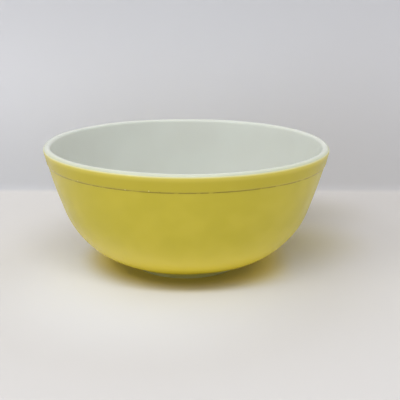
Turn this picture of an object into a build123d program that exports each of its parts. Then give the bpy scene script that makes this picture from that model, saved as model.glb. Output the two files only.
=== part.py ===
from build123d import *

import os
from math import acos, atan2, cos, radians, sin, sqrt

# A pressed opal-glass mixing bowl with a fired-on yellow enamel coat on its outside.
# Millimetres, +Z up. The origin is the middle of the foot ring, on the table.
# Every section is drawn on Plane.XZ as (distance from the axis, height) and revolved.

# ---- overall -----------------------------------------------------------------------
rim_diameter = 266.7  # widest place, over the coat
height = 117.5
foot_diameter = 104.0  # outside of the ring that stands on the table

# ---- rim and collar ----------------------------------------------------------------
rim_thickness = 6.6  # the lip is a full half round of this width
collar_height = 14.5  # from the top of the lip down to the step under the collar
collar_draft = 2.5  # how far the collar's lower corner lies inside the widest place
step_depth = 1.2  # the ledge, at 45 degrees, from the collar down to the side

# ---- side and base -----------------------------------------------------------------
side_angle = 14.6  # lean of the side under the step, from the vertical, in degrees
turn_in_angle = 80.5  # lean of the side where it reaches the foot
side_share = 0.47  # length of the upper, flatter arc's tangent against the lower one's
wall_thickness = 5.8  # measured square to the side, at the step and at the foot
floor_curve = 95.0  # radius of the easy curve from the side into the flat inside floor
base_thickness = 7.6  # bottom of the bowl, from its flat floor to the recess under it

# ---- foot ring ---------------------------------------------------------------------
foot_height = 6.2  # from the table to where the side starts
foot_draft = 1.5  # how far the ring's outside leans out over that height
foot_land = 6.0  # width of the ring's flat face

# ---- enamel coat -------------------------------------------------------------------
coat_thickness = 0.25
bare_lip = 1.9  # glass left bare below the top of the lip
bare_foot = 2.5  # glass left bare outside the foot ring's root

# ---- softened corners --------------------------------------------------------------
collar_round = 0.5
step_round = 0.8
foot_root_round = 2.0
foot_edge_round = 1.2
recess_round = 2.5


def leaning(angle):
    """Direction down a wall that leans inwards by this many degrees from the vertical."""
    return Vector(-sin(radians(angle)), -cos(radians(angle)))


def into_wall(angle):
    """Direction square to that wall, from its outside to its inside."""
    return Vector(-cos(radians(angle)), sin(radians(angle)))


def arc_joint(start, start_way, end, end_way, share):
    """Where two arcs meet that run from start to end in the given directions.

    The arcs share a tangent at the joint. Their tangent lengths are share * d and d,
    and d solves |end - start - d * (share * start_way + end_way)| = (1 + share) * d.
    """
    span = end - start
    ways = start_way * share + end_way
    square = 2.0 * share * (start_way.dot(end_way) - 1.0)
    linear = -2.0 * span.dot(ways)
    constant = span.dot(span)
    d = (-linear - sqrt(linear**2 - 4.0 * square * constant)) / (2.0 * square)
    before = start + start_way * share * d
    after = end - end_way * d
    return before + (after - before) * (share / (1.0 + share))


def touch_point(point, centre, radius, outside):
    """Where a line from the point touches a circle, on its outer or its inner side."""
    away = point - centre
    side = 1.0 if outside else -1.0
    angle = atan2(away.Y, away.X) + side * acos(radius / away.length)
    return centre + Vector(cos(angle), sin(angle)) * radius


# ---- places on the section ---------------------------------------------------------
lip_radius = rim_thickness / 2
lip_centre = Vector(rim_diameter / 2 - coat_thickness - lip_radius, height - lip_radius)
crest = lip_centre + Vector(0, lip_radius)
collar_corner = Vector(rim_diameter / 2 - coat_thickness - collar_draft, height - collar_height)
collar_top = touch_point(collar_corner, lip_centre, lip_radius, outside=True)
side_top = collar_corner - Vector(step_depth, step_depth)
foot_corner = Vector(foot_diameter / 2, 0)
side_end = foot_corner + Vector(foot_draft, foot_height)
outer_joint = arc_joint(
    side_top, leaning(side_angle), side_end, leaning(turn_in_angle), side_share
)

inside_top = side_top + into_wall(side_angle) * wall_thickness
lip_inside = touch_point(inside_top, lip_centre, lip_radius, outside=False)
inside_way = (inside_top - lip_inside).normalized()
inside_end = side_end + into_wall(turn_in_angle) * wall_thickness
floor_edge = inside_end + (into_wall(turn_in_angle) - Vector(0, 1)) * floor_curve
recess_depth = floor_edge.Y - base_thickness
recess_radius = foot_corner.X - foot_land

# ---- outside of the bowl, filled in to the axis ------------------------------------
with BuildSketch(Plane.XZ) as outside_section:
    with BuildLine() as outside_line:
        Polyline((0, crest.Y), (0, 0), foot_corner, side_end)
        lower_arc = TangentArc(side_end, outer_joint, tangent=leaning(turn_in_angle) * -1)
        upper_arc = TangentArc(outer_joint, side_top, tangent=lower_arc % 1)
        Polyline(side_top, collar_corner, collar_top)
        ThreePointArc(collar_top, lip_centre + Vector(lip_radius, 0), crest)
        Line(crest, (0, crest.Y))
    make_face()
    fillet(outside_section.vertices().sort_by_distance(side_top)[0], step_round)
    fillet(outside_section.vertices().sort_by_distance(collar_corner)[0], collar_round)
    fillet(outside_section.vertices().sort_by_distance(side_end)[0], foot_root_round)
    fillet(outside_section.vertices().sort_by_distance(foot_corner)[0], foot_edge_round)

# ---- inside of the bowl, from the crest of the lip to the flat floor ---------------
# Its two side arcs are the outer ones less the wall, so their tangents shrink alike.
upper_shrink = 1.0 - wall_thickness / upper_arc.radius
lower_shrink = 1.0 - wall_thickness / lower_arc.radius
inside_share = side_share * upper_shrink / lower_shrink
inner_joint = arc_joint(
    inside_top, inside_way, inside_end, leaning(turn_in_angle), inside_share
)
with BuildSketch(Plane.XZ) as inside_section:
    with BuildLine() as inside_line:
        TangentArc(crest, lip_inside, tangent=(-1, 0))
        Line(lip_inside, inside_top)
        inner_arc = TangentArc(inside_top, inner_joint, tangent=inside_way)
        TangentArc(inner_joint, inside_end, tangent=inner_arc % 1)
        TangentArc(inside_end, floor_edge, tangent=leaning(turn_in_angle))
        Polyline(floor_edge, (0, floor_edge.Y), (0, crest.Y), crest)
    make_face()

# ---- hollow under the base, inside the foot ring -----------------------------------
with BuildSketch(Plane.XZ) as recess_section:
    with Locations((recess_radius / 2, recess_depth / 2)):
        Rectangle(recess_radius, recess_depth)
    recess_corner = Vector(recess_radius, recess_depth)
    recess_curve = min(recess_round, 0.8 * recess_depth)
    fillet(recess_section.vertices().sort_by_distance(recess_corner)[0], recess_curve)

# ---- the glass ---------------------------------------------------------------------
with BuildSketch(Plane.XZ) as glass_section:
    add(outside_section.sketch_local)
    add(inside_section.sketch_local, mode=Mode.SUBTRACT)
    add(recess_section.sketch_local, mode=Mode.SUBTRACT)

with BuildPart() as opal_glass_bowl:
    revolve(glass_section.sketch, axis=Axis.Z)

# ---- the enamel, a skin on the outside between the bare lip and the bare foot ------
with BuildSketch(Plane.XZ) as coat_section:
    add(outside_section.sketch_local)
    offset(amount=coat_thickness, kind=Kind.ARC, mode=Mode.REPLACE)
    add(outside_section.sketch_local, mode=Mode.SUBTRACT)
    coat_start = side_end.X + bare_foot
    coat_width = rim_diameter / 2 - coat_start + 1.0
    with Locations((coat_start, 0)):
        Rectangle(
            coat_width,
            height - bare_lip,
            align=(Align.MIN, Align.MIN),
            mode=Mode.INTERSECT,
        )

with BuildPart() as yellow_enamel_coat:
    revolve(coat_section.sketch, axis=Axis.Z)

opal_glass_bowl.part.label = "opal_glass_bowl"
yellow_enamel_coat.part.label = "yellow_enamel_coat"

os.makedirs("parts", exist_ok=True)
export_step(opal_glass_bowl.part, "parts/opal_glass_bowl.step")
export_step(yellow_enamel_coat.part, "parts/yellow_enamel_coat.step")

for piece in (opal_glass_bowl, yellow_enamel_coat):
    size = piece.part.bounding_box().size
    print(piece.part.label, "volume", round(piece.part.volume), "mm3, size", size)
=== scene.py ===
# %% [markdown]
# # An enamelled opal-glass mixing bowl
# The bowl is one pressing of white opal glass. Its outside was sprayed with a yellow
# glass colour and fired, so the colour is a second skin of glass with edges of its own:
# one just under the top of the lip, and one just outside the foot ring.
# The CAD model holds both pieces at their real size, and its meshes could simply be given
# materials. They are plain, though: perfectly round, with a coat that ends in a square
# cut. So each piece gets a finer surface here, in the CAD model's own frame, in metres.

import bpy
import numpy as np
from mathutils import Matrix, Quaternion, Vector


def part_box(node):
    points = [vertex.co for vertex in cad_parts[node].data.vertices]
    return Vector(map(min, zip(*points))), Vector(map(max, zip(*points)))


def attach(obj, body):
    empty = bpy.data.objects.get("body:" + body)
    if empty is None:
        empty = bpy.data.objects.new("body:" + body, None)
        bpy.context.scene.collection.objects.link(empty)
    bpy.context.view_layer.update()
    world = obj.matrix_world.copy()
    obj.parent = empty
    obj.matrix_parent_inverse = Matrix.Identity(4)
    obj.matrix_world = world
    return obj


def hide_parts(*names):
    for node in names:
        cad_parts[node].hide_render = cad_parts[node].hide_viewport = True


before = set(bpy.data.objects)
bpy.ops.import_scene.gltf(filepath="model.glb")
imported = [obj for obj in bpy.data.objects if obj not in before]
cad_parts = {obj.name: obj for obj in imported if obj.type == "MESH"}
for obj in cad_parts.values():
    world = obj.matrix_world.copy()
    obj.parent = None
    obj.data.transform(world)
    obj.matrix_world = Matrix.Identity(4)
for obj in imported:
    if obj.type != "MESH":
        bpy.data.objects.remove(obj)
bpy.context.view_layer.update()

MM = 0.001
glass_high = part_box("opal_glass_bowl")[1]
coat_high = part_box("yellow_enamel_coat")[1]
glass_radius = glass_high.x
height = glass_high.z
coat_full = coat_high.x - glass_high.x
print("nodes", sorted(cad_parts))
print("glass radius, height and coat in mm:", round(glass_radius / MM, 2),
      round(height / MM, 2), round(coat_full / MM, 3))

# %% [markdown]
# ## The section
# A bowl that is pressed in a round mould is a body of revolution, so one drawing holds
# its whole shape: the section, as distance from the axis and height. It could be a
# smooth curve through many points, but such a bowl was drawn with a compass. Straight
# lines that meet in arcs say the same with a dozen sizes, because an arc that touches
# two lines is a rounded corner. The lip is two rounded corners side by side, and the two
# long arcs of the side are rounded corners with large radii.
# Complex numbers keep this short: the real part is the distance from the axis, the
# imaginary part is the height, and a turn is the angle of a quotient.

# %% Driving sizes of the section
lip_width = 6.6 * MM
collar_height = 14.5 * MM
collar_draft = 2.5 * MM
step_depth = 1.2 * MM
side_angle = np.radians(14.6)
turn_in_angle = np.radians(80.5)
side_share = 0.47
wall = 5.8 * MM
floor_curve = 95.0 * MM
base = 7.6 * MM
foot_radius = 52.0 * MM
foot_height = 6.2 * MM
foot_draft = 1.5 * MM
foot_land = 6.0 * MM
print("wall", round(wall / MM, 1), "mm, base", round(base / MM, 1), "mm")

# %% Softened corners of the section
collar_round = 0.5 * MM
step_round = 0.8 * MM
foot_root_round = 2.0 * MM
foot_edge_round = 1.2 * MM
foot_inner_round = 0.5 * MM
recess_round = 2.4 * MM
print("smallest rounding in mm", round(min(collar_round, foot_inner_round) / MM, 2))


# %% Directions along and into a wall
def down(angle):
    """Direction down a wall that leans inwards by this angle from the vertical."""
    return -np.sin(angle) - 1j * np.cos(angle)


def into(angle):
    """Direction square to that wall, from its outside to its inside."""
    return -np.cos(angle) + 1j * np.sin(angle)


def dot(a, b):
    """Dot product of two directions written as complex numbers."""
    return (a * np.conj(b)).real


print("down and into are square to each other:", abs(dot(down(0.3), into(0.3))) < 1e-12)


# %% Two arcs between two places
def arc_corners(start, start_way, end, end_way, share):
    """The two corners, with radii, whose rounding gives two arcs from start to end.

    The arcs' tangents are share * d and d long, and d solves
    |end - start - d * (share * start_way + end_way)| = (1 + share) * d.
    A corner that turns by t has the radius tangent / tan(t / 2).
    """
    span = end - start
    ways = start_way * share + end_way
    square = 2 * share * (dot(start_way, end_way) - 1)
    linear_part = -2 * dot(span, ways)
    root = np.sqrt(linear_part**2 - 4 * square * abs(span) ** 2)
    d = (-linear_part - root) / (2 * square)
    upper = start + start_way * share * d
    lower = end - end_way * d
    between = (lower - upper) / abs(lower - upper)
    upper_turn = np.angle(between / start_way)
    lower_turn = np.angle(end_way / between)
    upper_radius = share * d / np.tan(abs(upper_turn) / 2)
    lower_radius = d / np.tan(abs(lower_turn) / 2)
    return (upper, upper_radius), (lower, lower_radius)


print("a quarter circle of radius 1 comes out as arcs of radius",
      [round(float(corner[1]), 3) for corner in arc_corners(1j, 1, 1, -1j, 1.0)])


# %% Where a line touches a circle or reaches a height
def touch(point, centre, radius, side):
    """Where a line from the point touches a circle, on its outer (1) or inner (-1) side."""
    away = point - centre
    turn = side * np.arccos(radius / abs(away))
    return centre + radius * away / abs(away) * np.exp(1j * turn)


def crossing(a, b, level):
    """Where the line through a and b reaches this height."""
    return a + (b - a) * (level - a.imag) / (b - a).imag


print("a line from 2 touches the unit circle at", np.round(touch(2 + 0j, 0j, 1, 1), 3))

# %% Places on the section
lip = lip_width / 2
lip_centre = glass_radius - lip + 1j * (height - lip)
collar_corner = glass_radius - collar_draft + 1j * (height - collar_height)
collar_top = touch(collar_corner, lip_centre, lip, 1)
side_top = collar_corner - step_depth * (1 + 1j)
foot_corner = foot_radius + 0j
side_end = foot_corner + foot_draft + 1j * foot_height

inside_top = side_top + into(side_angle) * wall
inside_touch = touch(inside_top, lip_centre, lip, -1)
inside_way = (inside_top - inside_touch) / abs(inside_top - inside_touch)
inside_end = side_end + into(turn_in_angle) * wall
floor_level = (inside_end + (into(turn_in_angle) - 1j) * floor_curve).imag
recess_level = floor_level - base
floor_corner = crossing(inside_end, inside_end + down(turn_in_angle), floor_level)
print("floor of the bowl at", round(floor_level / MM, 2), "mm, underside at",
      round(recess_level / MM, 2), "mm")

# %% The two long arcs of the side, outside and inside
outer_upper, outer_lower = arc_corners(
    side_top, down(side_angle), side_end, down(turn_in_angle), side_share
)
upper_shrink = 1 - wall / outer_upper[1]
lower_shrink = 1 - wall / outer_lower[1]
inner_upper, inner_lower = arc_corners(
    inside_top, inside_way, inside_end, down(turn_in_angle),
    side_share * upper_shrink / lower_shrink,
)
for name, corner in (("outer upper", outer_upper), ("outer lower", outer_lower),
                     ("inner upper", inner_upper), ("inner lower", inner_lower)):
    print(name, "arc radius in mm", round(float(corner[1]) / MM, 1))

# %% Sample a polyline with rounded corners
FINE = 0.2 * MM
FINE_TURN = 0.1
SAME_PLACE = 0.001 * MM


def rounded_path(corners):
    """Close samples along a polyline, each corner given as (place, radius).

    At a corner that turns by t, an arc of radius R leaves the sides R * tan(t / 2)
    from the corner. Its points are the centre plus the first spoke turned by 0 to t.
    Where two arcs overlap, the one with the larger radius is trimmed. Samples nearer
    than SAME_PLACE become one, and longer steps are cut until none is over FINE.
    """
    places = np.array([place for place, _ in corners])
    pieces = [places[:1]]
    last_radius = 0
    for before, (corner, radius), after in zip(places, corners[1:-1], places[2:]):
        way_in = (corner - before) / abs(corner - before)
        turn = np.angle((after - corner) / way_in)
        start = corner - way_in * radius * np.tan(abs(turn) / 2)
        centre = start + 1j * np.sign(turn) * way_in * radius
        count = int(max(abs(turn) * radius / FINE, abs(turn) / FINE_TURN)) + 2
        arc = centre + (start - centre) * np.exp(1j * np.linspace(0, turn, count))
        if radius > last_radius:
            arc = arc[dot(arc - pieces[-1][-1], way_in) > 0]
        else:
            pieces[-1] = pieces[-1][dot(pieces[-1] - start, way_in) < 0]
        pieces.append(arc)
        last_radius = radius
    pieces.append(places[-1:])
    rough = np.concatenate(pieces)
    rough = rough[np.append(True, np.abs(np.diff(rough)) > SAME_PLACE)]
    cuts = np.maximum(np.ceil(np.abs(np.diff(rough)) / FINE).astype(int), 1)
    which = np.repeat(np.arange(len(cuts)), cuts)
    part = (np.arange(cuts.sum()) - np.repeat(np.cumsum(cuts) - cuts, cuts)) / cuts[which]
    path = rough[which] + (rough[which + 1] - rough[which]) * part
    return np.append(path, rough[-1])


# %% The outside, from the foot ring up to the top of the lip
outside = rounded_path([
    (foot_corner - foot_land / 2, 0),
    (foot_corner, foot_edge_round),
    (side_end, foot_root_round),
    outer_lower,
    outer_upper,
    (side_top, step_round),
    (collar_corner, collar_round),
    (crossing(collar_corner, collar_top, height), lip),
    (lip_centre + 1j * lip, 0),
])
print("outside:", len(outside), "samples, widest at", round(outside.real.max() / MM, 2), "mm")

# %% The inside, from the top of the lip down to the axis, and the underside
inside = rounded_path([
    (lip_centre + 1j * lip, 0),
    (crossing(inside_top, inside_touch, height), lip),
    inner_upper,
    inner_lower,
    (floor_corner, floor_curve),
    (1j * floor_level, 0),
])
underside = rounded_path([
    (1j * recess_level, 0),
    (foot_corner - foot_land + 1j * recess_level, recess_round),
    (foot_corner - foot_land, foot_inner_round),
    (foot_corner - foot_land / 2, 0),
])
print("inside:", len(inside), "samples, underside:", len(underside), "samples")

# %% [markdown]
# ## Rows where they are needed
# A revolved surface is a stack of rings. Evenly spaced rings would either show corners
# on the lip and the step, or waste thousands of faces on the easy curve of the side. So
# each stretch of the path costs its length divided by the spacing, plus the angle it
# turns through divided by a turn step, and the rings are placed at equal costs.


# %% Measure a path
def lengths(path):
    """Distance travelled along the path up to each sample."""
    return np.append(0, np.cumsum(np.abs(np.diff(path))))


def turned(path):
    """Angle turned through along the path up to each sample, in radians."""
    steps = np.diff(path)
    turns = np.abs(np.angle(steps[1:] / steps[:-1]))
    return np.concatenate([[0], np.cumsum(turns), [turns.sum()]])


def at(path, values, distance):
    """A value known at the path's samples, read at other distances along it."""
    return np.interp(distance, lengths(path), values)


def outward(path):
    """Unit direction out of the solid at each sample: the path's way turned right."""
    return -1j * np.gradient(path) / np.abs(np.gradient(path))


for name, path in (("outside", outside), ("inside", inside), ("underside", underside)):
    print(name, "is", round(lengths(path)[-1] / MM, 1), "mm long and turns through",
          round(np.degrees(turned(path)[-1])), "degrees")


# %% Place rows along a path
def rows_along(path, spacing, turn_step):
    """Distances along the path of rows at equal cost, its first and last place included."""
    along = lengths(path)
    cost = along / spacing + turned(path) / turn_step
    count = int(np.ceil(cost[-1]))
    return np.interp(np.linspace(0, cost[-1], count + 1), cost, along)


outside_spacing = 2.4 * MM
outside_turn_step = np.radians(8)
outside_rows = rows_along(outside, outside_spacing, outside_turn_step)
print("the outside needs", len(outside_rows), "rows")

# %% [markdown]
# ## Pressed glass is never quite even
# A plunger presses the gob of glass in a mould and the bowl is then fire-polished, so
# it comes out a little out of round, with long low swells that show only in the way a
# reflection bends. A bump in the material could fake them, but a bump stays behind when
# the mesh is used elsewhere, so they are in the shape: a few waves added along the
# surface's outward direction. The glass and its coat read the same waves at the same
# places, so that the coat stays on the glass.

# %% Long low swells, the same ones for both pieces
COLUMNS = 360
around = np.arange(COLUMNS) / COLUMNS * 2 * np.pi
rng = np.random.default_rng(266)
swell_count = rng.integers(2, 9, 12)
swell_length = rng.uniform(55, 180, 12) * MM
swell_phase = rng.uniform(0, 2 * np.pi, 12)
swell_height = rng.uniform(0.02, 0.05, 12) * MM
largest_swell = 0.11 * MM
swell_height[:2] = largest_swell
swell_fade = 60 * MM


def swell(place):
    """Height of the swells at a place (distance from the axis + i * height), all round.

    It is a sum of waves. Each has its own whole number of crests round the bowl, its
    own length from floor to lip, and fades out towards the axis.
    """
    travel = (np.abs(place) + place.imag)[..., None] / swell_length * 2 * np.pi
    angle = around[None, :, None] * swell_count + travel[:, None, :] + swell_phase
    fade = np.clip(place.real / swell_fade, 0, 1) ** 2
    return (swell_height * np.cos(angle)).sum(-1) * fade[:, None]


print("largest swell in mm", round(float(np.abs(swell(outside)).max()) / MM, 3))


# %% Lift a path off itself
def lift(path, distance, amount):
    """Places at these distances along the path, moved outwards by the given amounts.

    Distance has one value per row, or one per row and column. The swells are added.
    """
    by_row = distance.reshape(len(distance), -1)
    spread = np.broadcast_to(by_row, (len(distance), COLUMNS))
    place = at(path, path, spread)
    way = at(path, outward(path), spread)
    low = swell(at(path, path, by_row[:, 0]))
    return place + way / np.abs(way) * (low + amount)


print("the top of the lip lies between",
      np.round(np.sort(lift(outside, lengths(outside)[-1:], 0.0).imag[0])[[0, -1]] / MM, 2))

# %% [markdown]
# ## From rows to a mesh
# Blender has a Screw modifier and a Spin tool for this, but they turn one fixed line,
# and here every ring is a little different all the way round. So the rings are points
# in an array. Two neighbouring rings are joined by four-sided faces, and where the
# section reaches the axis a single point closes the surface with a fan. Numbers that a
# material needs, such as the distance to an edge, are stored on the points with them.


# %% Faces between rings
def ring_faces(rings, poles):
    """Corner numbers of the four-sided faces between rings, and of the fans at the poles.

    Column j of ring i is point i * COLUMNS + j, and the two poles come after them all.
    Without poles the last ring joins the first.
    """
    here = np.arange(rings * COLUMNS).reshape(rings, COLUMNS)
    lower, upper = (here[:-1], here[1:]) if poles else (here, np.roll(here, -1, axis=0))
    quads = np.stack([lower, np.roll(lower, -1, 1), np.roll(upper, -1, 1), upper], -1)
    fans = np.zeros((0, 3), int)
    if poles:
        first, last = here[0], here[-1]
        first_fan = [np.roll(first, -1), first, np.full(COLUMNS, here.size)]
        last_fan = [last, np.roll(last, -1), np.full(COLUMNS, here.size + 1)]
        fans = np.concatenate([np.stack(first_fan, -1), np.stack(last_fan, -1)])
    return quads.reshape(-1, 4), fans


print("three rings with poles have", [len(faces) for faces in ring_faces(3, True)],
      "quads and triangles")


# %% Revolve rows into a closed mesh
def revolve(name, rows, marks, poles=False):
    """Mesh of rings: each place r + i * h becomes (r cos a, r sin a, h) at its own angle a.

    With the rows running counter-clockwise round the section, the faces look outwards.
    With poles, the first and last rows become one point each on the axis. Without, the
    last row joins the first, which closes the section into a ring. Marks are numbers
    per row, or per row and column, that are stored on the points under their names.
    """
    ends = int(poles)
    rings = rows[ends : len(rows) - ends]
    turned_rings = [rings.real * np.cos(around), rings.real * np.sin(around), rings.imag]
    points = np.stack(turned_rings, axis=-1).reshape(-1, 3)
    if poles:
        tips = [[0, 0, rows[0].imag.mean()], [0, 0, rows[-1].imag.mean()]]
        points = np.append(points, tips, axis=0)
    quads, fans = ring_faces(len(rings), poles)

    mesh = bpy.data.meshes.new(name)
    mesh.vertices.add(len(points))
    mesh.vertices.foreach_set("co", points.ravel())
    mesh.loops.add(quads.size + fans.size)
    mesh.loops.foreach_set("vertex_index", np.append(quads.ravel(), fans.ravel()))
    mesh.polygons.add(len(quads) + len(fans))
    starts = np.append(np.arange(len(quads)) * 4, quads.size + np.arange(len(fans)) * 3)
    mesh.polygons.foreach_set("loop_start", starts)
    mesh.polygons.foreach_set("use_smooth", np.ones(len(starts), bool))
    for mark, values in marks.items():
        values = np.broadcast_to(values, rows.shape)
        stored = values[ends : len(rows) - ends].ravel()
        if poles:
            stored = np.append(stored, [values[0].mean(), values[-1].mean()])
        layer = mesh.attributes.new(mark, "FLOAT", "POINT")
        layer.data.foreach_set("value", stored.astype(np.float32))
    mesh.update(calc_edges=True)
    mesh.validate()
    piece = bpy.data.objects.new(name, mesh)
    bpy.context.scene.collection.objects.link(piece)
    print(name, "triangles", 2 * len(quads) + len(fans), "marks", sorted(marks))
    return piece


# %% [markdown]
# ## Where the colour starts and stops
# The bowl is turned by hand while it is sprayed, against a mask or with the edge wiped
# clean, so both edges of the colour wander a little up and down as they go round. A
# level ring would look printed. Both pieces need to know these edges: the coat ends
# there, and on the glass just past them lies a thin haze of stray colour.

# %% Edges of the colour
bare_lip = 1.9 * MM
bare_foot = 2.5 * MM
outside_way = lengths(outside)
lip_stretch = 12 * MM
near_lip = outside_way > outside_way[-1] - lip_stretch
top_edge = outside_way[near_lip & (outside.imag < height - bare_lip)][-1]
low_edge = outside_way[outside.real < side_end.real + bare_foot][-1]
crease = outside_way[np.argmin(np.abs(outside - side_top))]


def wander(seed, waves):
    """A closed wavy line round the bowl: a sum of waves, each with (crests, height)."""
    phases = np.random.default_rng(seed).uniform(0, 2 * np.pi, len(waves))
    return sum(
        size * np.cos(crests * around + phase) for (crests, size), phase in zip(waves, phases)
    )


top_wander = wander(3, [(1, 0.10 * MM), (3, 0.07 * MM), (8, 0.04 * MM), (21, 0.025 * MM)])
low_wander = wander(5, [(2, 0.30 * MM), (5, 0.20 * MM), (11, 0.12 * MM), (29, 0.06 * MM)])
print("colour from", round(low_edge / MM, 1), "to", round(top_edge / MM, 1),
      "mm along the outside, step at", round(crease / MM, 1), "mm")
print("edges wander by", round(np.ptp(top_wander) / MM, 2), "mm at the lip and",
      round(np.ptp(low_wander) / MM, 2), "mm at the foot")

# %% [markdown]
# ## The glass
# The whole bowl is one closed skin: from the middle of the underside out to the foot,
# up the outside, over the lip, and down the inside to the middle of the floor. One
# surface with shared rows keeps the lip and the foot free of seams. Under the base, the
# valve that pushed the bowl out of its mould leaves a faint ring.

# %% Rows of the glass, with the valve's ring
skin = np.concatenate([underside, outside[1:], inside[1:]])
skin_spacing = 2.6 * MM
skin_turn_step = np.radians(9)
valve_ring = 33 * MM
ring_width = 0.9 * MM
ring_depth = 0.12 * MM
ring_rows = valve_ring + np.linspace(-2, 2, 9) * ring_width
skin_rows = np.sort(np.append(rows_along(skin, skin_spacing, skin_turn_step), ring_rows))
groove = -ring_depth * np.exp(-(((skin_rows - valve_ring) / ring_width) ** 2))
print("rows of the glass", len(skin_rows), "of which in the ring", len(ring_rows))

# %% Make the glass
# farther past the low edge than any colour reaches, in millimetres
FAR_MM = 99
up_outside = (skin_rows - lengths(underside)[-1])[:, None]
past_low_edge = np.where(up_outside < crease, low_edge + low_wander - up_outside, np.inf)
glass = revolve(
    "pressed_opal_glass_bowl", lift(skin, skin_rows, groove[:, None]),
    {"past_top_edge": (up_outside - top_edge - top_wander) / MM,
     "past_low_edge": np.minimum(past_low_edge / MM, FAR_MM)},
    poles=True,
)
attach(glass, "root")
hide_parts("opal_glass_bowl")

# %% [markdown]
# ## The enamel coat
# Colour that is sprayed on and fired melts into a smooth skin with no crisp end: its
# edge thins out over a fraction of a millimetre. A Solidify modifier would give it a
# square edge, and a colour change painted on the glass would give it no edge at all. So
# the coat is a thin closed shell on the same outside path as the glass. Its outer skin
# stands a quarter of a millimetre off the glass and sinks into it at both ends, and an
# inner skin just under the glass's surface closes it.

# %% Rows of the coat
feather = 0.5 * MM
inner_limit = 2 * feather
top_wander_fade = 8 * MM
low_wander_fade = 16 * MM
well_inside = (outside_rows > low_edge + inner_limit) & (outside_rows < top_edge - inner_limit)
edge_steps = feather * np.array([0, 0.05, 0.15, 0.3, 0.5, 0.75, 1.05, 1.5])
coat_rows = np.concatenate([
    low_edge + edge_steps, outside_rows[well_inside], (top_edge - edge_steps)[::-1]
])
near_top = np.clip(1 - (top_edge - coat_rows) / top_wander_fade, 0, 1)[:, None]
near_low = np.clip(1 - (coat_rows - low_edge) / low_wander_fade, 0, 1)[:, None]
coat_way = coat_rows[:, None] + near_top * top_wander + near_low * low_wander
print("rows of the coat", len(coat_rows))

# %% Thickness of the coat, and its two skins
sunk = 0.03 * MM
inner_depth = sunk + 0.02 * MM
from_edge = np.minimum(coat_rows - low_edge, top_edge - coat_rows)
rise = np.sqrt(1 - (1 - np.clip(from_edge / feather, 0, 1)) ** 2)
thickness = rise * (coat_full + sunk) - sunk
outer_skin = lift(outside, coat_way, thickness[:, None])
kept = np.unique(np.append(np.arange(1, len(coat_rows) - 1, 2), len(coat_rows) - 2))[::-1]
inner_skin = lift(outside, coat_way[kept], -inner_depth)
all_rows = np.append(coat_rows, coat_rows[kept])[:, None]
all_ways = np.concatenate([coat_way, coat_way[kept]])
print("coat thickness in mm", round(float(thickness.max()) / MM, 3))

# %% Make the coat
coat = revolve(
    "fired_yellow_enamel_coat", np.concatenate([outer_skin, inner_skin]),
    {"below_top_edge": (top_edge - all_rows) / MM,
     "above_low_edge": (all_rows - low_edge) / MM,
     "above_crease": (all_ways - crease) / MM},
)
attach(coat, "root")
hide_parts("yellow_enamel_coat")

# %% [markdown]
# ## Materials
# Each material starts from what the real surface is. Colours are written as they are
# picked, as sRGB hex, and one function turns them to the linear numbers that Blender
# works in. A material could be wired by hand in the editor, but in a script one small
# function that adds a node, sets its values and links its inputs says the same and can
# be read from top to bottom. Finishes are built up like paint: colour is laid over
# colour, each layer fading out with a distance or a noise.


# %% Helpers for node materials
def linear(hex_colour):
    """sRGB hex to linear RGBA: c / 12.92 below 0.04045, else ((c + 0.055) / 1.055) ** 2.4."""
    srgb = np.array([int(hex_colour[i : i + 2], 16) for i in (1, 3, 5)]) / 255
    rgb = np.where(srgb <= 0.04045, srgb / 12.92, ((srgb + 0.055) / 1.055) ** 2.4)
    return (*rgb.tolist(), 1.0)


def add(tree, kind, settings=None, **inputs):
    """Adds a node; settings are its properties, inputs its sockets, values or links.

    An input is named as on the node, with _ for a space, or by its number, as in _0.
    """
    node = tree.nodes.new(kind)
    for key, value in (settings or {}).items():
        setattr(node, key, value)
    for key, value in inputs.items():
        socket = node.inputs[int(key[1:]) if key[1:].isdigit() else key.replace("_", " ")]
        if isinstance(value, bpy.types.NodeSocket):
            tree.links.new(value, socket)
        else:
            socket.default_value = value
    return node


def new_material(name):
    """An empty node material, and its node tree."""
    material = bpy.data.materials.new(name)
    material.use_nodes = True
    material.node_tree.nodes.clear()
    return material, material.node_tree


def lay_over(tree, colour, layers):
    """Lays colours over each other: each layer is (value, from, to, amounts there, hex).

    The amount of a layer goes smoothly from the first to the second of its two amounts
    while the value goes from one number to the other.
    """
    for value, start, stop, (amount, later), hex_colour in layers:
        cover = add(tree, "ShaderNodeMapRange", {"interpolation_type": "SMOOTHSTEP"},
                    Value=value, From_Min=start, From_Max=stop, To_Min=amount, To_Max=later)
        mix = add(tree, "ShaderNodeMix", {"data_type": "RGBA"},
                  _0=cover.outputs["Result"], _6=colour, _7=linear(hex_colour))
        colour = mix.outputs[2]
    return colour


print("mid grey #808080 is", round(linear("#808080")[0], 3), "in linear light")
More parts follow.
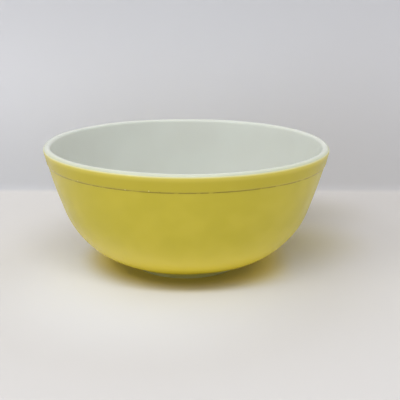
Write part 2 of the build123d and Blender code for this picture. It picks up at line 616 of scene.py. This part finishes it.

# %% [markdown]
# ### Opal glass
# White glass that is clouded all through by tiny crystals. Light sinks in a few
# millimetres before it comes back, so shadows on it are soft and its edges glow, and
# fire polishing leaves the surface smooth and glossy. A flat white paint would miss the
# glow, and real transmission through 6 mm of clouded glass would only add noise, so the
# shader scatters light under the surface. The glass is a cool, faintly green white. A
# used bowl carries a very faint haze of utensil marks, and the ring it stands on is worn
# matt. Past the edges of the colour lies a haze of stray spray. Over the lip it is also
# painted shade that dims the lip's top, and down the foot it is partly a painted
# reflection of the yellow shadow on the floor.

# %% Colour of the opal glass
opal, tree = new_material("pressed_opal_glass")
place = add(tree, "ShaderNodeTexCoord").outputs["Object"]
cloud = add(tree, "ShaderNodeTexNoise", Vector=place, Scale=1 / (45 * MM), Detail=2.0)
past_top = add(tree, "ShaderNodeAttribute", {"attribute_name": "past_top_edge"})
past_low = add(tree, "ShaderNodeAttribute", {"attribute_name": "past_low_edge"})
opal_colour = lay_over(tree, linear("#C4C7C0"), [
    # faint clouds in the glass
    (cloud.outputs["Fac"], 0.3, 0.7, (0.0, 1.0), "#C6CAC3"),
    # stray spray over the lip, with painted shade that dims the lip's top
    (past_top.outputs["Fac"], 0.0, 5.0, (0.5, 0.0), "#B4BA92"),
    # stray spray down the foot, partly a painted reflection of the yellow shadow on the floor
    (past_low.outputs["Fac"], 0.0, 18.0, (0.9, 0.0), "#B6AC24"),
])
print("opal glass: colour with", len(tree.nodes), "nodes")

# %% Gloss and surface of the opal glass
haze = add(tree, "ShaderNodeTexNoise", Vector=place, Scale=1 / (9 * MM), Detail=5.0)
gloss = add(tree, "ShaderNodeMapRange", Value=haze.outputs["Fac"],
            From_Min=0.35, From_Max=0.7, To_Min=0.20, To_Max=0.26)
height_of = add(tree, "ShaderNodeSeparateXYZ", Vector=place)
worn = add(tree, "ShaderNodeMapRange", Value=height_of.outputs["Z"],
           From_Min=0.0, From_Max=0.5 * MM, To_Min=0.55, To_Max=0.0)
rough = add(tree, "ShaderNodeMath", {"operation": "MAXIMUM"},
            _0=gloss.outputs["Result"], _1=worn.outputs["Result"])
ripples = add(tree, "ShaderNodeTexNoise", Vector=place, Scale=1 / (14 * MM), Detail=1.0)
bump = add(tree, "ShaderNodeBump", Strength=0.25, Distance=0.05 * MM,
           Height=ripples.outputs["Fac"])
# less specular than clean glass, set by trial renders for the soft sheen of a used bowl
shader = add(tree, "ShaderNodeBsdfPrincipled", Base_Color=opal_colour,
             Roughness=rough.outputs["Value"], IOR=1.5, Normal=bump.outputs["Normal"],
             Specular_IOR_Level=0.4,
             Subsurface_Weight=0.6, Subsurface_Radius=(1.0, 0.95, 0.8),
             Subsurface_Scale=4 * MM)
add(tree, "ShaderNodeOutputMaterial", Surface=shader.outputs["BSDF"])
glass.data.materials.append(opal)
print("opal glass: IOR", round(shader.inputs["IOR"].default_value, 2), "with",
      len(tree.nodes), "nodes")

# %% [markdown]
# ### Fired enamel
# A coloured glass powder that is sprayed on and melted at about 600 degrees. It is
# opaque and glossy, a little less even than the glass under it: sprayed droplets leave
# a soft orange-peel swell and the colour is a touch stronger where more powder lies.
# At the top edge the spray thins out, so that the white glass lightens it to cream, and
# over the last few millimetres below the lip a painted highlight lightens it too.
# The colour also changes slowly with height, as painted light and shade set by trial
# renders: it is lightest over the lower belly, where light comes back off the floor, a
# deeper gold below that, and darkest next to the foot, where shade falls under the belly.
# The collar is a touch deeper too, as painted shade. This stands in for light and shade
# near a table that plain lamps don't give. So it stays on the bowl under any other lamps.
# An image could hold all this, but layers that follow the coat's own distances stay
# sharp at any size and turn with the bowl.

# %% Colour of the enamel
# the distances below are millimetres along the coat
enamel, tree = new_material("fired_yellow_enamel")
place = add(tree, "ShaderNodeTexCoord").outputs["Object"]
mottle = add(tree, "ShaderNodeTexNoise", Vector=place, Scale=1 / (22 * MM), Detail=1.0)
below_top = add(tree, "ShaderNodeAttribute", {"attribute_name": "below_top_edge"})
above_low = add(tree, "ShaderNodeAttribute", {"attribute_name": "above_low_edge"})
above_crease = add(tree, "ShaderNodeAttribute", {"attribute_name": "above_crease"})
enamel_colour = lay_over(tree, linear("#AEA126"), [
    # more powder in one place than in another
    (mottle.outputs["Fac"], 0.3, 0.7, (0.0, 1.0), "#B3A52B"),
    # painted light and shade: lighter over the lower belly, a touch deeper on the collar
    (above_low.outputs["Fac"], 12.0, 88.0, (1.0, 0.0), "#E2CE3F"),
    (above_crease.outputs["Fac"], -2.0, 2.0, (0.0, 0.7), "#A89A24"),
    # thin spray at the top edge, with a painted highlight in the band under the lip
    (below_top.outputs["Fac"], 0.0, 6.0, (0.5, 0.0), "#D4C560"),
    (below_top.outputs["Fac"], 0.0, 1.8, (0.8, 0.0), "#D0D0A5"),
    # painted shade: deep gold under the belly, darkest next to the foot
    (above_low.outputs["Fac"], 14.0, 44.0, (1.0, 0.0), "#BDA80E"),
    (above_low.outputs["Fac"], 4.0, 22.0, (0.9, 0.0), "#86780A"),
])
print("enamel: colour with", len(tree.nodes), "nodes")

# %% [markdown]
# #### The corner under the collar
# A thin olive line lies in the inner corner of the step, broken where a cloth gets into
# it: partly enamel and grease gathered there, partly painted shade of the corner. Beside
# it lie a few specks: dark ones where grit was fired into the colour, and pale ones where
# the collar's corner was chipped down to the white glass. The specks are the cells of a
# Voronoi texture, whose own random colour says which of the two each one is.

# %% Line of dirt and painted shade, and specks
from_crease = add(tree, "ShaderNodeMath", {"operation": "ABSOLUTE"},
                  _0=above_crease.outputs["Fac"]).outputs["Value"]
breaks = add(tree, "ShaderNodeTexNoise", Vector=place, Scale=1 / (7 * MM), Detail=2.0)
line_gaps = add(tree, "ShaderNodeMapRange", Value=breaks.outputs["Fac"],
            From_Min=0.38, From_Max=0.5, To_Min=0.45, To_Max=0.0)
line = add(tree, "ShaderNodeMath", {"operation": "ADD"},
           _0=from_crease, _1=line_gaps.outputs["Result"])
# a thin olive line in the step's corner: partly dirt, partly painted shade
enamel_colour = lay_over(tree, enamel_colour, [
    (line.outputs["Value"], 0.2, 0.95, (0.6, 0.0), "#4E4204"),
])
specks = add(tree, "ShaderNodeTexVoronoi", Vector=place, Scale=1 / (6 * MM))
pick = add(tree, "ShaderNodeSeparateColor", Color=specks.outputs["Color"]).outputs["Red"]
too_far = add(tree, "ShaderNodeMapRange", Value=from_crease, From_Min=2.2, From_Max=3.6)
in_band = add(tree, "ShaderNodeMath", {"operation": "ADD"},
              _0=specks.outputs["Distance"], _1=too_far.outputs["Result"]).outputs["Value"]
grit = (0.55, 0.6, "#6B5C14")
chips = (0.6, 0.55, "#DDD48C")
for kept_from, kept_to, speck_colour in (grit, chips):
    other_kind = add(tree, "ShaderNodeMapRange", Value=pick,
                     From_Min=kept_from, From_Max=kept_to)
    speck = add(tree, "ShaderNodeMath", {"operation": "ADD"},
                _0=in_band, _1=other_kind.outputs["Result"])
    enamel_colour = lay_over(tree, enamel_colour, [
        (speck.outputs["Value"], 0.05, 0.12, (0.8, 0.0), speck_colour),
    ])
print("enamel: line and specks bring it to", len(tree.nodes), "nodes")

# %% Gloss and surface of the enamel
droplets = add(tree, "ShaderNodeTexNoise", Vector=place, Scale=1 / (6 * MM), Detail=0.0)
peel = add(tree, "ShaderNodeBump", Strength=0.1, Distance=0.03 * MM,
           Height=droplets.outputs["Fac"])
gloss = add(tree, "ShaderNodeMapRange", Value=mottle.outputs["Fac"],
            From_Min=0.3, From_Max=0.7, To_Min=0.25, To_Max=0.27)
# less specular than clean enamel, set by trial renders for the soft sheen of a used bowl
shader = add(tree, "ShaderNodeBsdfPrincipled", Base_Color=enamel_colour,
             Roughness=gloss.outputs["Result"], IOR=1.52, Normal=peel.outputs["Normal"],
             Specular_IOR_Level=0.38)
add(tree, "ShaderNodeOutputMaterial", Surface=shader.outputs["BSDF"])
coat.data.materials.append(enamel)
print("enamel: IOR", round(shader.inputs["IOR"].default_value, 2), "with",
      len(tree.nodes), "nodes")

# %% [markdown]
# ## Floor and backdrop
# A sheet of matt white paper stands under and behind the bowl, with a small bend where
# it turns up. Two planes would meet in a hard line, and one plane would need a world
# that looks like a wall. The camera and reflections see the paper in slightly greyed
# colours with painted shade, darker at the foot of the wall, high up and away from the
# light, while the light that bounces off it stays that of white paper, so the bowl is lit
# as it would be in a room. Soft round patches of painted light and shade are laid on the
# floor, set by trial renders: the sheet is a little brighter in front, greyer on the right
# where painted shade widens the bowl's shade, and near the bowl it takes on more of the
# yellow that the bowl throws back than the lamps alone give it. They lie still when the
# camera moves.
# The paper's back face lets a view from behind or below through, but the paper still
# lights and shades the bowl.

# %% Bend the paper
sweep_start = 0.2465
sweep_radius = 0.012
sweep_side = 2.5
sweep_front = -1.8
sweep_top = 2.4
quarter = np.linspace(0, np.pi / 2, 16)
bend_y = sweep_start + sweep_radius * np.sin(quarter)
bend_z = sweep_radius * (1 - np.cos(quarter))
sweep_y = np.concatenate([[sweep_front], bend_y, bend_y[-1:]])
sweep_z = np.concatenate([[0], bend_z, [sweep_top]])
edges = np.tile([-sweep_side, sweep_side], len(sweep_y))
sweep_points = np.stack([edges, np.repeat(sweep_y, 2), np.repeat(sweep_z, 2)], axis=-1)
first = np.arange(len(sweep_y) - 1) * 2
sweep_faces = np.stack([first, first + 1, first + 3, first + 2], axis=-1)
sweep_mesh = bpy.data.meshes.new("paper_sweep")
sweep_mesh.from_pydata(sweep_points.tolist(), [], sweep_faces.tolist())
sweep_mesh.polygons.foreach_set("use_smooth", np.ones(len(sweep_faces), bool))
sweep = bpy.data.objects.new("paper_sweep", sweep_mesh)
bpy.context.scene.collection.objects.link(sweep)
print("paper stands", round((bend_y[-1]) / MM, 1), "mm behind the bowl's axis")

# %% Colour the paper
paper, tree = new_material("matt_white_paper")
place = add(tree, "ShaderNodeTexCoord").outputs["Object"]
axes = add(tree, "ShaderNodeSeparateXYZ", Vector=place).outputs
spots = {
    "bright front": (-0.03, -0.07, 0.0),
    "far right": (0.24, 0.16, 0.0),
    "behind right": (0.13, 0.17, 0.0),
    "beside right": (0.10, 0.06, 0.0),
    "foot": (0.0, 0.015, 0.0),
    "front right": (0.055, -0.03, 0.0),
}
away = {}
for spot, middle in spots.items():
    distance = add(tree, "ShaderNodeVectorMath", {"operation": "DISTANCE"},
                   _0=place, _1=middle)
    away[spot] = distance.outputs["Value"]
seen = lay_over(tree, linear("#C7C8CE"), [
    # painted shade on the wall: greyer near its foot, high up and to the right
    (axes["Z"], 0.0, 0.15, (0.9, 0.0), "#B5B6BB"),
    (axes["Z"], 0.15, 0.28, (0.0, 0.4), "#AAABB0"),
    (axes["X"], -0.05, 0.30, (0.0, 0.42), "#AEAEB3"),
    # the floor, with painted light in front and painted shade on the right of the bowl
    (axes["Z"], 0.001, 0.006, (1.0, 0.0), "#C4C2C2"),
    (away["bright front"], 0.04, 0.17, (0.8, 0.0), "#DDDEE4"),
    (away["far right"], 0.05, 0.28, (0.4, 0.0), "#A5A19F"),
    (away["behind right"], 0.0, 0.11, (0.55, 0.0), "#958E7C"),
    (away["beside right"], 0.0, 0.11, (0.75, 0.0), "#A99F79"),
    # yellow thrown back by the bowl
    (away["foot"], 0.07, 0.11, (1.0, 0.0), "#CEBC5C"),
    (away["foot"], 0.055, 0.095, (0.8, 0.0), "#EBD76A"),
    (away["front right"], 0.0, 0.055, (0.6, 0.0), "#EEDA7C"),
])
print("paper: colour with", len(tree.nodes), "nodes")

# %% White to the light, and clear from behind
ray = add(tree, "ShaderNodeLightPath").outputs
seen_by = ray["Is Camera Ray"]
for other in ("Is Glossy Ray", "Is Transmission Ray"):
    either = add(tree, "ShaderNodeMath", {"operation": "MAXIMUM"}, _0=seen_by, _1=ray[other])
    seen_by = either.outputs["Value"]
paint = add(tree, "ShaderNodeMix", {"data_type": "RGBA"},
            _0=seen_by, _6=linear("#F3F2F0"), _7=seen)
shader = add(tree, "ShaderNodeBsdfPrincipled", Base_Color=paint.outputs[2], Roughness=0.75,
             Specular_IOR_Level=0.2)
back = add(tree, "ShaderNodeNewGeometry").outputs["Backfacing"]
seen_back = add(tree, "ShaderNodeMath", {"operation": "MULTIPLY"},
                _0=ray["Is Camera Ray"], _1=back)
clear = add(tree, "ShaderNodeBsdfTransparent")
sheet = add(tree, "ShaderNodeMixShader", _0=seen_back.outputs["Value"],
            _1=shader.outputs["BSDF"], _2=clear.outputs["BSDF"])
add(tree, "ShaderNodeOutputMaterial", Surface=sheet.outputs["Shader"])
sweep_mesh.materials.append(paper)
print("paper with", len(tree.nodes), "nodes")

# %% [markdown]
# ## Light
# The bowl stands in a plain bright room. A broad, low light panel above and in front of
# it gives the short shadow with its firm front edge, and a soft glint along the far
# lip. A small panel to the left gives a second glint, and a very wide lamp further left
# stands for a window, whose shade fades out slowly on the right. A weaker one on the
# right stands for light off a wall. A round lamp could not give a long thin glint, and a
# panel near the bowl would light its near side more than its far side, so the panels
# hang three metres away. The world fills the shadows.

# %% Light panels
PANEL_AWAY = 3.0


def towards(elevation, turn):
    """Unit direction at an elevation above the floor and a turn from the front to the right."""
    up, side = np.radians(elevation), np.radians(turn)
    return Vector((np.sin(side) * np.cos(up), -np.cos(side) * np.cos(up), np.sin(up)))


def hang(name, data, way):
    """Hangs a lamp out along a direction, with its back to it."""
    lamp = bpy.data.objects.new(name, data)
    lamp.location = way * PANEL_AWAY
    lamp.rotation_euler = way.to_track_quat("Z", "Y").to_euler()
    bpy.context.scene.collection.objects.link(lamp)


def panel(name, strength, elevation, turn, width, depth):
    """A light panel; strength is the light that reaches the bowl, width and depth are the
    angles that it fills, in degrees."""
    data = bpy.data.lights.new(name, "AREA")
    data.shape = "RECTANGLE"
    data.size = 2 * PANEL_AWAY * np.tan(np.radians(width) / 2)
    data.size_y = 2 * PANEL_AWAY * np.tan(np.radians(depth) / 2)
    data.energy = strength * np.pi * PANEL_AWAY**2
    hang(name, data, towards(elevation, turn))
    print(name, round(data.size, 2), "by", round(data.size_y, 2), "m")


panel("high_front_panel", 1.32, 58, -3, 40, 9)
panel("left_front_panel", 0.38, 45, -50, 18, 12)

# %% Wide lamps and world


def wide_lamp(name, strength, elevation, turn, size):
    """A far, very wide lamp; size is the angle that it fills, in degrees."""
    data = bpy.data.lights.new(name, "SUN")
    data.energy = strength
    data.angle = np.radians(size)
    hang(name, data, towards(elevation, turn))
    print(name, "strength", strength)


wide_lamp("left_window", 0.87, 38, -92, 120)
wide_lamp("right_wall_glow", 0.38, 25, 75, 120)

room_light = 0.56
world = bpy.data.worlds.new("plain_bright_room")
world.use_nodes = True
background = world.node_tree.nodes["Background"]
background.inputs["Color"].default_value = (1.0, 1.0, 1.0, 1.0)
background.inputs["Strength"].default_value = room_light
bpy.context.scene.world = world
bpy.context.scene.view_settings.view_transform = "Standard"

# %% [markdown]
# ## Camera
# The bowl is seen from a little above the lip, from about three bowl widths away, with
# a lens long enough that its sides hardly converge.

# %% Place the camera
camera_data = bpy.data.cameras.new("camera")
camera_data.lens = 72
camera_data.sensor_width = 36
camera = bpy.data.objects.new("camera", camera_data)
bpy.context.scene.collection.objects.link(camera)
camera_back = 0.7427
camera_up = 0.2642
camera.location = (0.0, -camera_back, camera_up)
aim = Vector((0.0128, 0.0, 0.0607))
tilt = Quaternion((0, 0, 1), np.radians(0.3))
camera.rotation_euler = ((camera.location - aim).to_track_quat("Z", "Y") @ tilt).to_euler()
bpy.context.scene.camera = camera
print("camera is", round((camera.location - aim).length, 3), "m from what it looks at")
